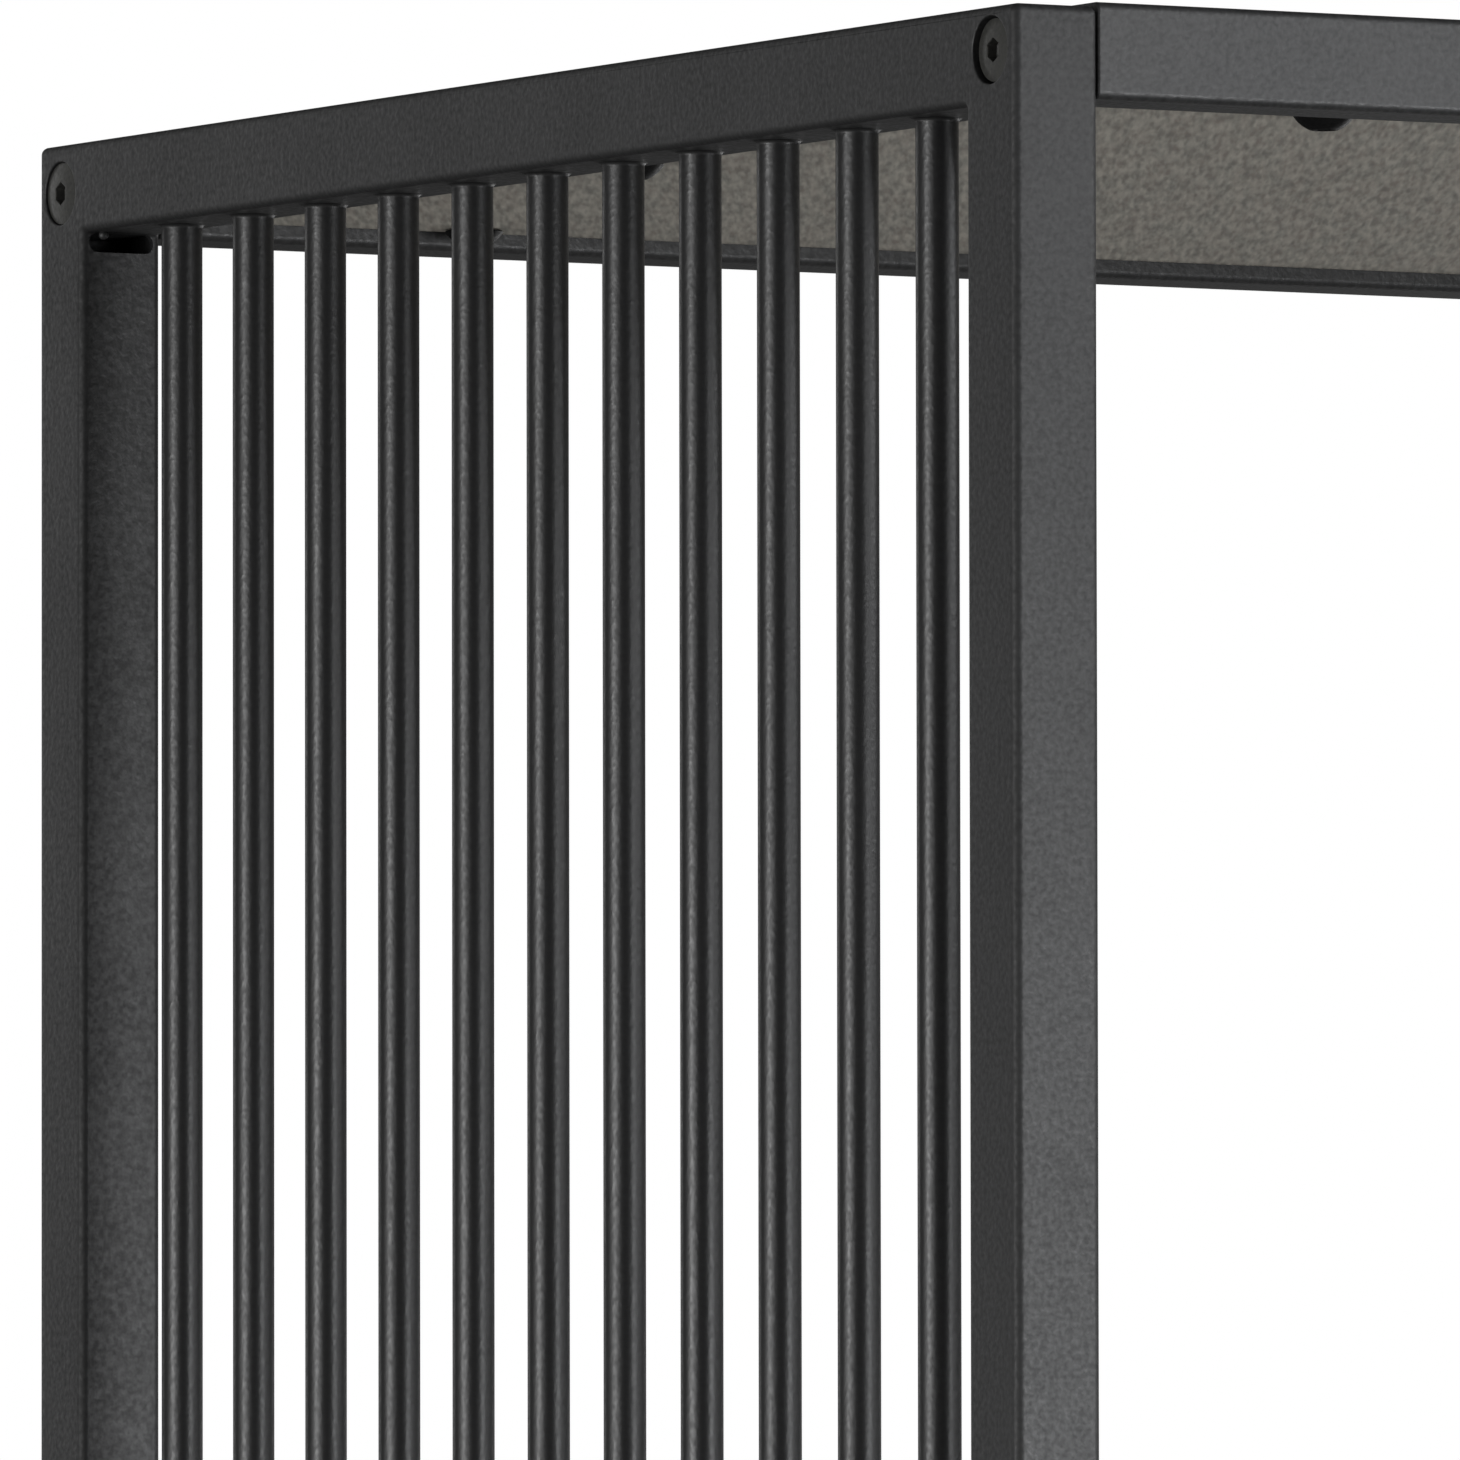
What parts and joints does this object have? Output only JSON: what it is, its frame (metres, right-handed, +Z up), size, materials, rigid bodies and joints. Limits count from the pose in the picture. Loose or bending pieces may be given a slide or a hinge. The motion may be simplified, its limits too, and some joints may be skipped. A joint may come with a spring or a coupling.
{
  "type": "fireside rack",
  "caption": "Open fireside rack: barred square-tube end frames bolted to cross rails, with stone-look boards set in the upper and lower rails.",
  "frame": {"origin": "on the floor, under the middle of the rack", "axes": "+X from the left end frame to the right one, +Y to the rear, +Z up"},
  "size_m": [1, 0.424, 1.201],
  "materials": {
    "frame_coat": "fine-texture matt anthracite powder coat",
    "bar_coat": "fine-texture anthracite powder coat, slightly glossier on the round bars",
    "stone_board": "matt grey-brown stone look, faced board",
    "bolt_black": "black zinc, satin",
    "foot_plastic": "black moulded plastic"
  },
  "bodies": {
    "rack": {"left_front_post": "frame_coat", "left_rear_post": "frame_coat", "right_front_post": "frame_coat", "right_rear_post": "frame_coat", "left_upper_rail": "frame_coat", "left_lower_rail": "frame_coat", "right_upper_rail": "frame_coat", "right_lower_rail": "frame_coat", "upper_front_rail": "frame_coat", "upper_rear_rail": "frame_coat", "lower_front_rail": "frame_coat", "lower_rear_rail": "frame_coat", "left_bar_1": "bar_coat", "left_bar_2": "bar_coat", "left_bar_3": "bar_coat", "left_bar_4": "bar_coat", "left_bar_5": "bar_coat", "left_bar_6": "bar_coat", "left_bar_7": "bar_coat", "left_bar_8": "bar_coat", "left_bar_9": "bar_coat", "left_bar_10": "bar_coat", "left_bar_11": "bar_coat", "right_bar_1": "bar_coat", "right_bar_2": "bar_coat", "right_bar_3": "bar_coat", "right_bar_4": "bar_coat", "right_bar_5": "bar_coat", "right_bar_6": "bar_coat", "right_bar_7": "bar_coat", "right_bar_8": "bar_coat", "right_bar_9": "bar_coat", "right_bar_10": "bar_coat", "right_bar_11": "bar_coat", "upper_board": "stone_board", "lower_board": "stone_board", "left_front_upper_bolt": "bolt_black", "left_front_lower_bolt": "bolt_black", "left_rear_upper_bolt": "bolt_black", "left_rear_lower_bolt": "bolt_black", "right_front_upper_bolt": "bolt_black", "right_front_lower_bolt": "bolt_black", "right_rear_upper_bolt": "bolt_black", "right_rear_lower_bolt": "bolt_black", "upper_board_bolt_front_left": "bolt_black", "upper_board_bolt_front_right": "bolt_black", "upper_board_bolt_rear_left": "bolt_black", "upper_board_bolt_rear_right": "bolt_black", "upper_board_bolt_left": "bolt_black", "upper_board_bolt_right": "bolt_black", "lower_board_bolt_front_left": "bolt_black", "lower_board_bolt_front_right": "bolt_black", "lower_board_bolt_rear_left": "bolt_black", "lower_board_bolt_rear_right": "bolt_black", "lower_board_bolt_left": "bolt_black", "lower_board_bolt_right": "bolt_black"},
    "left_front_foot_body": {"left_front_foot": "foot_plastic"},
    "left_rear_foot_body": {"left_rear_foot": "foot_plastic"},
    "right_front_foot_body": {"right_front_foot": "foot_plastic"},
    "right_rear_foot_body": {"right_rear_foot": "foot_plastic"}
  },
  "joints": [
    {"name": "left_front_foot_screw", "type": "slide", "parent": "rack", "child": "left_front_foot_body", "axis": [0, 0, -1], "range_m": [0, 0.008]},
    {"name": "left_rear_foot_screw", "type": "slide", "parent": "rack", "child": "left_rear_foot_body", "axis": [0, 0, -1], "range_m": [0, 0.008]},
    {"name": "right_front_foot_screw", "type": "slide", "parent": "rack", "child": "right_front_foot_body", "axis": [0, 0, -1], "range_m": [0, 0.008]},
    {"name": "right_rear_foot_screw", "type": "slide", "parent": "rack", "child": "right_rear_foot_body", "axis": [0, 0, -1], "range_m": [0, 0.008]}
  ]
}
